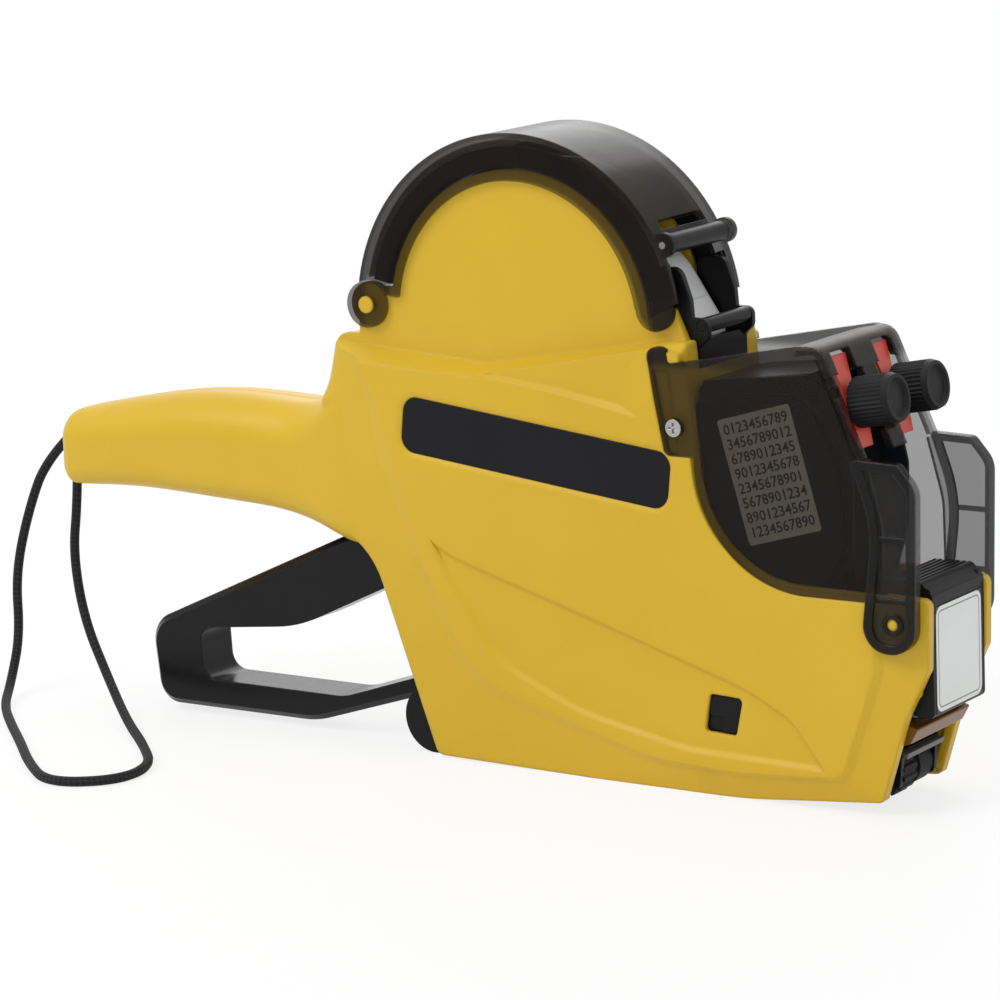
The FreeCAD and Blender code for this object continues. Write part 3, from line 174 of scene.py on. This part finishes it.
def moulded(name, colour, roughness, grain=0.00003, grain_per_metre=2600, edge=0.0004,
            shift=0.06, **constants):
    """Moulded plastic: fine grain, slow unevenness in tone and gloss, softened edges."""
    f = Finish(name, colour, roughness, **constants)
    slow, fine = f.noise(28, 3), f.noise(grain_per_metre, 2)
    dark = tuple(c * (1 - shift) for c in colour)
    light = tuple(min(1.0, c * (1 + shift)) for c in colour)
    f.feed({"Base Color": f.between(f.steps(slow, 0.3, 0.7), dark, light),
            "Roughness": (f.noise(90, 4) - 0.5) * 0.14 + roughness})
    return f.relief(fine, grain, edge)


def body_yellow():
    f = Finish("body_yellow", (0.655, 0.42, 0.02), 0.4, Specular_IOR_Level=0.32)
    slow, fine = f.noise(16, 3), f.noise(2400, 3)
    x, y, z = f.axes()
    tone = f.between(f.steps(slow, 0.3, 0.7), (0.645, 0.41, 0.018), (0.68, 0.438, 0.023))
    # Painted shade: the body darkens in patches towards the bottom, over its lowest 2 cm
    bottom_shade = f.steps(f.noise(70, 5), 0.55, 0.8) * (1.0 - f.steps(z, 0.0, 0.02))
    f.feed({"Base Color": f.between(bottom_shade * 0.35, tone, (0.44, 0.29, 0.03)),
            "Roughness": (f.noise(60, 4) - 0.5) * 0.12 + 0.4})
    scuffs = f.noise(420, 6)
    return f.relief(fine + scuffs * 0.5, 0.00005, 0.0011)


class Smoke(Finish):
    """Dark clear plastic; what lies behind it shows faintly, in brown."""

    def __init__(self, name):
        self.colour = (0.009, 0.0056, 0.0042)
        super().__init__(name, self.colour, 0.12)
        self.tone = self.between(self.steps(self.noise(22, 3), 0.3, 0.7), self.colour,
                                 tuple(c * 1.5 for c in self.colour))
        self.gloss = self.noise(120, 5) * 0.12 + 0.06


def cover_smoke():
    """Thin over the yellow discs and the ear, thicker on the arch, darkest at the rim."""
    f = Smoke("cover_smoke").feed({"Specular IOR Level": 0.13})
    x, y, z = f.axes()
    radius = f.length(x - ROLL_AXIS.x, z - ROLL_AXIS.z)
    from_ear = f.length(x - EAR_AXIS.x, z - EAR_AXIS.z)
    ear = 1.0 - f.steps(from_ear, EAR_EDGE - 0.0001, EAR_EDGE + 0.0001)
    over_disc = 1.0 - f.steps(radius, DISC_EDGE - 0.0001, DISC_EDGE + 0.0001)
    thin = over_disc + ear > 0.5
    rim = f.steps(radius, COVER_RIM - 0.0002, COVER_RIM + 0.0001)
    f.feed({"Base Color": f.tone, "Roughness": f.gloss + rim * 0.12,
            "Alpha": (0.66 + rim * 0.14) - thin * 0.24})
    return f.relief(f.noise(60, 2), 0.00012, 0.0004)


def hood_smoke():
    """Thin side plates, thicker wings with raised rims and bars, a worn top; the wings' lighter grey
    is a painted reflection.
    """
    f = Smoke("hood_smoke").feed({"Specular IOR Level": 0.2})
    x, y, z = f.axes()
    raised, wing = abs(y) > WING_RIM, abs(y) > WING_FACE
    top = f.steps(z, HOOD_TOP_Z, HOOD_TOP_Z + 0.0025)
    front = (x > HOOD_FRONT_X) * (abs(y) < HOOD_FRONT_HALF)
    # Painted reflection: the wings get a lighter grey than the rest of the smoke
    tone = f.between(wing, f.tone, (0.026, 0.0243, 0.023))
    f.feed({"Base Color": f.between(raised, tone, (0.005, 0.0043, 0.004)),
            "Roughness": f.gloss + top * 0.25,
            "Alpha": 0.43 + wing * 0.17 + raised * 0.32 + front * 0.22 + top * 0.25})
    return f.relief(f.noise(60, 2), 0.00012, 0.0008)


def paper(name, colour):
    f = Finish(name, colour, 0.7)
    fibre = f.noise(900, 4)
    f.feed({"Base Color": f.between(f.steps(fibre, 0.3, 0.7), tuple(c * 0.95 for c in colour), colour),
            "Roughness": f.noise(300, 2) * 0.2 + 0.6})
    return f.relief(fibre, 0.00002)


def wound_paper():
    """Edge of the roll: fine circles, one for each turn of the strip."""
    f = Finish("wound_paper", (0.86, 0.85, 0.82), 0.72)
    x, y, z = f.axes()
    radius = f.length(x - ROLL_AXIS.x, z - ROLL_AXIS.z)
    turns = f.node("ShaderNodeMath", {"operation": "PINGPONG"}, {0: radius, 1: 0.00016})
    side = f.steps(abs(y), 0.0078, 0.00795)
    line = f.steps(turns, 0.00003, 0.00012)
    f.feed({"Base Color": f.between(side * (1.0 - line) * 0.5, (0.88, 0.87, 0.84),
                                    (0.62, 0.6, 0.56))})
    return f.relief(turns * side * 6000 + f.noise(700, 3), 0.00002)


def strip_paper():
    """Backing strip with a row of labels on it."""
    f = Finish("strip_paper", (0.9, 0.9, 0.88), 0.6)
    x, y, z = f.axes()
    along = x * 0.4 - z
    row = f.node("ShaderNodeMath", {"operation": "PINGPONG"}, {0: along, 1: 0.006})
    gap = f.steps(row, 0.0, 0.0004)
    margin = 1.0 - f.steps(abs(y), 0.0073, 0.0075)
    label = gap * margin
    fibre = f.noise(900, 3)
    f.feed({"Base Color": f.between(label, (0.72, 0.71, 0.66), (0.92, 0.92, 0.9)),
            "Roughness": 0.75 - label * 0.2})
    return f.relief(label + fibre * 0.15, 0.00006)


def sticker():
    """White sticker with rounded corners and a thin grey border line, bare inside it."""
    f = Finish("front_sticker", (0.78, 0.79, 0.77), 0.38)
    x, y, z = f.axes()
    half_wide, half_high, corner = 0.0107, 0.0119, 0.0024
    outside = f.length(f.above_zero(abs(y) - (half_wide - corner)),
                       f.above_zero(abs(z - 0.0358) - (half_high - corner))) - corner
    line = f.steps(outside, -0.0013, -0.00118) * (1.0 - f.steps(outside, -0.00098, -0.00086))
    past = f.steps(outside, -0.00005, 0.00005)
    tone = f.between(f.steps(f.noise(45, 3), 0.3, 0.7), (0.75, 0.76, 0.735), (0.81, 0.82, 0.8))
    printed = f.between(line, tone, (0.2, 0.21, 0.21))
    f.feed({"Base Color": f.between(past, printed, HOLDER_BLACK),
            "Roughness": f.noise(200, 3) * 0.15 + 0.3})
    return f.relief(f.noise(140, 3) - past * 2.0, 0.00004, 0.0001)


def steel(name, colour, roughness):
    f = Finish(name, colour, roughness, Metallic=1.0)
    x, y, z = f.axes()
    turned = f.node("ShaderNodeCombineXYZ", values={0: x * 900, 1: y * 9000, 2: z * 900})
    lines = f.noise(1.0, 3, turned)
    f.feed({"Roughness": lines * 0.15 + roughness - 0.07,
            "Base Color": f.between(f.noise(80, 3), tuple(c * 0.92 for c in colour), colour)})
    return f.relief(lines, 0.00002, 0.00015)


def felt():
    f = Finish("ink_felt", (0.02, 0.02, 0.024), 0.85)
    fluff = f.noise(1400, 6)
    f.feed({"Base Color": f.between(f.steps(fluff, 0.35, 0.75), (0.012, 0.012, 0.016),
                                    (0.05, 0.05, 0.06)),
            "Roughness": f.noise(200, 2) * 0.25 + 0.7})
    return f.relief(fluff, 0.0002)


def card():
    f = Finish("roll_card", (0.42, 0.29, 0.17), 0.8)
    fibre = f.noise(500, 5)
    f.feed({"Base Color": f.between(fibre, (0.36, 0.25, 0.14), (0.5, 0.36, 0.22))})
    return f.relief(fibre, 0.00006)


def braid():
    """Braided cord: two sets of strands crossing, read along the cord's own map."""
    f = Finish("strap_braid", (0.012, 0.012, 0.013), 0.75, Specular_IOR_Level=0.25)
    u, v, _ = f.axes(f.node("ShaderNodeTexCoord", out="UV"))
    tau = 2 * math.pi
    around, along = v * (tau * 4), u * (tau * 110)

    def wave(value):
        return f.node("ShaderNodeMath", {"operation": "SINE"}, {0: value})
    weave = wave(around + along) * wave(around - along)
    high = f.steps(weave, -0.6, 0.6)
    hair = f.noise(3000, 4)
    f.feed({"Base Color": f.between(high, (0.004, 0.004, 0.005), (0.019, 0.019, 0.022)),
            "Roughness": hair * 0.2 + 0.62})
    return f.relief(high + hair * 0.35, 0.00016)


def chart_card():
    f = Finish("chart_card", (0.58, 0.51, 0.42), 0.5)
    slow = f.noise(120, 3)
    f.feed({"Base Color": f.between(slow, (0.54, 0.475, 0.39), (0.64, 0.57, 0.47)),
            "Roughness": f.noise(300, 2) * 0.2 + 0.4})
    return f.relief(f.noise(900, 3), 0.00001)


def printed_digits():
    f = Finish("chart_digits", (0.03, 0.028, 0.026), 0.6)
    wear = f.noise(1500, 3)
    f.feed({"Base Color": f.between(f.steps(wear, 0.3, 0.6), (0.06, 0.052, 0.046),
                                    (0.022, 0.02, 0.019))})
    return f.relief(wear, 0.00001)


def type_bands():
    """Rubber bands with a raised row of type on each."""
    f = Finish("band_rubber", (0.55, 0.53, 0.48), 0.65)
    x, y, z = f.axes()
    row = f.node("ShaderNodeMath", {"operation": "PINGPONG"}, {0: z, 1: 0.0013})
    block = f.steps(row, 0.0002, 0.0004)
    stain = f.noise(260, 4) * (1.0 - f.steps(z, 0.041, 0.05))
    f.feed({"Base Color": f.between(stain, f.between(block, (0.36, 0.345, 0.31), (0.6, 0.58, 0.53)),
                                    (0.03, 0.03, 0.04)),
            "Roughness": f.noise(300, 3) * 0.2 + 0.55})
    return f.relief(block, 0.0002, 0.0001)


def amber():
    f = Finish("amber_clear", (0.14, 0.045, 0.008), 0.25, Specular_IOR_Level=0.22)
    f.feed({"Base Color": f.between(f.noise(60, 3), (0.13, 0.05, 0.006), (0.22, 0.09, 0.01)),
            "Roughness": f.noise(200, 3) * 0.12 + 0.16})
    return f.relief(f.noise(150, 3), 0.00005, 0.0003)


HOLDER_BLACK = (0.0055, 0.0055, 0.006)


def finishes():
    black, dull = (0.008, 0.008, 0.0088), {"Specular_IOR_Level": 0.16}
    return {
        body_yellow(): ["near_shell", "far_shell", "near_roll_hub", "far_roll_hub"],
        cover_smoke(): ["roll_cover"],
        hood_smoke(): ["head_cover"],
        moulded("lever_black", black, 0.19, edge=0.0007, **dull): ["squeeze_lever"],
        moulded("works_black", HOLDER_BLACK, 0.38, **dull): [
            "label_guide", "bottom_tray", "near_latch", "far_latch", "ink_holder", "print_base",
            "roller_shield", "guide_roller", "cover_bar", "cover_liner",
            "near_type_block", "far_type_block", "feed_wheel", "rocker"],
        moulded("head_blue_black", (0.012, 0.014, 0.019), 0.34, **dull): [
            "print_frame", "near_head_plate", "far_head_plate", "near_band_wheels",
            "far_band_wheels"],
        moulded("knob_black", (0.009, 0.009, 0.0095), 0.5, edge=0.0003, **dull): [
            "near_knob", "far_knob"],
        moulded("nameplate_black", (0.007, 0.007, 0.0085), 0.26, grain=0.00001,
                grain_per_metre=900, edge=0.0003, **dull): ["near_nameplate", "far_nameplate"],
        moulded("pointer_red", (0.72, 0.055, 0.025), 0.32): ["near_pointer", "far_pointer"],
        type_bands(): ["near_type_bands", "far_type_bands"],
        chart_card(): ["near_chart", "far_chart"],
        steel("screw_steel", (0.42, 0.41, 0.4), 0.24): ["hood_screws"],
        steel("dark_steel", (0.22, 0.22, 0.22), 0.3): ["cover_bar_pin"],
        steel("plain_steel", (0.4, 0.4, 0.41), 0.32): [
            "body_screws", "lever_axle", "holder_pin", "ink_roller_pin", "applicator_pin",
            "feed_axle", "tray_pin", "near_selector_shaft", "far_selector_shaft",
            "return_spring"],
        wound_paper(): ["label_roll"],
        strip_paper(): ["label_strip"],
        sticker(): ["holder_label"],
        card(): ["roll_core"],
        amber(): ["peel_guide"],
        moulded("strip_grey", (0.1, 0.1, 0.105), 0.42): ["scraper_strip"],
        felt(): ["ink_roller"],
        moulded("roller_rubber", (0.012, 0.012, 0.012), 0.6, grain=0.00008,
                grain_per_metre=1500, **dull): ["applicator_roller"],
    }


def dress(obj, finish):
    obj.data.materials.clear()
    obj.data.materials.append(finish.material)


def add_piece(name, mesh, body, finish):
    obj = bpy.data.objects.new(name, mesh)
    bpy.context.collection.objects.link(obj)
    dress(obj, finish)
    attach(obj, body)
    return obj


# Strap: leaves the end of the handle, lies on the table in a loop and comes back below it
STRAP_ROUTE = [(-173.2, 0, 70.3), (-185.8, 0, 60.6), (-192.4, -1, 46.0), (-196.2, -3, 29.5),
               (-193.4, -6, 14.5), (-192.4, -12, 3.0), (-183.6, -25, 1.25), (-169.4, -39, 1.25),
               (-156.4, -51, 1.25), (-141.0, -66, 1.25), (-125.5, -78, 1.25),
               (-111.5, -69, 1.25), (-112.5, -55, 1.25), (-127.0, -40, 1.25),
               (-144.0, -25, 1.6), (-159.5, -13, 9.0), (-170.7, -7.2, 21.2),
               (-174.5, -5.5, 37.6), (-172.5, -5, 50.8), (-171.7, -5, 61.8)]


def strap():
    curve = bpy.data.curves.new("strap", "CURVE")
    curve.dimensions = "3D"
    curve.bevel_depth, curve.bevel_resolution, curve.resolution_u = 0.0012, 4, 12
    curve.use_fill_caps = True
    spline = curve.splines.new("NURBS")
    spline.points.add(len(STRAP_ROUTE) - 1)
    for point, place in zip(spline.points, STRAP_ROUTE):
        point.co = (*(Vector(place) * MM), 1)
    spline.order_u, spline.use_endpoint_u = 3, True
    obj = bpy.data.objects.new("strap", curve)
    bpy.context.collection.objects.link(obj)
    curve.materials.append(braid().material)
    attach(obj, "body")
    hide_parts("wrist_strap")


# Light and floor
def stage():
    scene = bpy.context.scene
    scene.view_settings.view_transform = "Standard"
    world = bpy.data.worlds.new("studio")
    scene.world = world
    world.use_nodes = True
    tree = world.node_tree
    tree.nodes.clear()
    path = tree.nodes.new("ShaderNodeLightPath")
    soft, white = tree.nodes.new("ShaderNodeBackground"), tree.nodes.new("ShaderNodeBackground")
    soft.inputs["Color"].default_value = (0.95, 0.97, 1.0, 1)
    soft.inputs["Strength"].default_value = 0.4
    white.inputs["Color"].default_value = (1, 1, 1, 1)
    seen = tree.nodes.new("ShaderNodeMath")
    seen.operation = "MAXIMUM"
    also = tree.nodes.new("ShaderNodeMath")
    also.operation = "MAXIMUM"
    tree.links.new(path.outputs["Is Camera Ray"], seen.inputs[0])
    tree.links.new(path.outputs["Is Glossy Ray"], seen.inputs[1])
    tree.links.new(seen.outputs[0], also.inputs[0])
    tree.links.new(path.outputs["Is Transmission Ray"], also.inputs[1])
    mix, out = tree.nodes.new("ShaderNodeMixShader"), tree.nodes.new("ShaderNodeOutputWorld")
    tree.links.new(also.outputs[0], mix.inputs[0])
    tree.links.new(soft.outputs[0], mix.inputs[1])
    tree.links.new(white.outputs[0], mix.inputs[2])
    tree.links.new(mix.outputs[0], out.inputs[0])

    edit = bmesh.new()
    bmesh.ops.create_circle(edit, cap_ends=True, radius=2.5, segments=96)
    mesh = bpy.data.meshes.new("floor")
    edit.to_mesh(mesh)
    edit.free()
    floor = bpy.data.objects.new("floor", mesh)
    bpy.context.collection.objects.link(floor)
    f = Finish("pale_floor", (0.92, 0.92, 0.92), 0.6)
    f.feed({"Base Color": f.between(f.noise(3, 2), (0.91, 0.91, 0.91), (0.94, 0.94, 0.94))})
    glow = f.tree.nodes.new("ShaderNodeEmission")
    glow.inputs["Strength"].default_value = 1.0
    seen = f.node("ShaderNodeLightPath", out="Is Camera Ray")
    shine = f.node("ShaderNodeLightPath", out="Is Glossy Ray")
    through = f.node("ShaderNodeLightPath", out="Is Transmission Ray")
    blend = f.tree.nodes.new("ShaderNodeMixShader")
    x, y, z = f.axes()
    distance = f.steps(f.length(x, y), 0.12, 0.42)
    f.plug(blend.inputs[0], (seen + shine + through) * (0.8 + distance * 0.2))
    f.tree.links.new(f.shader.outputs[0], blend.inputs[1])
    f.tree.links.new(glow.outputs[0], blend.inputs[2])
    f.tree.links.new(blend.outputs[0], f.tree.nodes["Material Output"].inputs[0])
    dress(floor, f)
    lamp("key", (-0.6, -0.85, 1.1), 0.7, 9.5)
    lamp("fill", (1.1, -0.7, 0.6), 0.8, 2.6)
    lamp("top", (0.0, 0.1, 1.3), 1.0, 5.0)
    lamp("rim", (-0.5, 1.0, 0.7), 0.8, 3.4)


def lamp(name, place, size, power):
    data = bpy.data.lights.new(name, "AREA")
    data.size, data.energy = size, power
    obj = bpy.data.objects.new(name, data)
    obj.location = place
    aim = Vector((-0.05, 0, 0.07)) - Vector(place)
    obj.rotation_euler = aim.to_track_quat("-Z", "Y").to_euler()
    bpy.context.collection.objects.link(obj)


# Charts on the head's side plates: plain digits in rows
CHART_X, CHART_Z, CHART_TILT = 0.0362, 0.0638, 5.5
CHART_PRINT = (0.0172, 0.0265)


def at_rest():
    """Matrix from the squeezed head, where it stands upright, to the head at rest."""
    pivot = Matrix.Translation(LEVER_PIVOT)
    return pivot @ Matrix.Rotation(-SQUEEZE, 4, "Y") @ pivot.inverted()


def chart_digits(side, name, finish):
    text = bpy.data.curves.new(name, "FONT")
    rows = ["".join(str((row * 3 + column) % 10) for column in range(10)) for row in range(8)]
    text.body = "\n".join(rows)
    text.size = 0.003
    text.space_line = 1.0
    text.align_x, text.align_y = "CENTER", "CENTER"
    text.extrude, text.offset = 0.00001, 0.00004
    text.resolution_u = 2
    maker = bpy.data.objects.new(name, text)
    bpy.context.collection.objects.link(maker)
    bpy.context.view_layer.update()
    mesh = bpy.data.meshes.new_from_object(maker.evaluated_get(
        bpy.context.evaluated_depsgraph_get()))
    bpy.data.objects.remove(maker)
    mesh.name = name
    wide, high = (2 * max(abs(v.co[i]) for v in mesh.vertices) for i in (0, 1))
    mesh.transform(Matrix.Diagonal((CHART_PRINT[0] / wide, CHART_PRINT[1] / high, 1, 1)))
    upright = Matrix.Rotation(math.radians(90), 4, "X")
    if side == FAR:
        upright = Matrix.Rotation(math.radians(180), 4, "Z") @ upright
    y = side * (0.01385 + 0.00012 + 0.00001)
    centre = Matrix.Translation((CHART_X, y, CHART_Z))
    lean = Matrix.Rotation(-math.radians(CHART_TILT), 4, "Y")
    mesh.transform(at_rest() @ centre @ lean @ upright)
    add_piece(name, mesh, "lever", finish)


place_camera()
strap()
for finish, names in finishes().items():
    for name in names:
        dress(nodes[name], finish)
digits = printed_digits()
chart_digits(NEAR, "near_chart_digits", digits)
chart_digits(FAR, "far_chart_digits", digits)
stage()
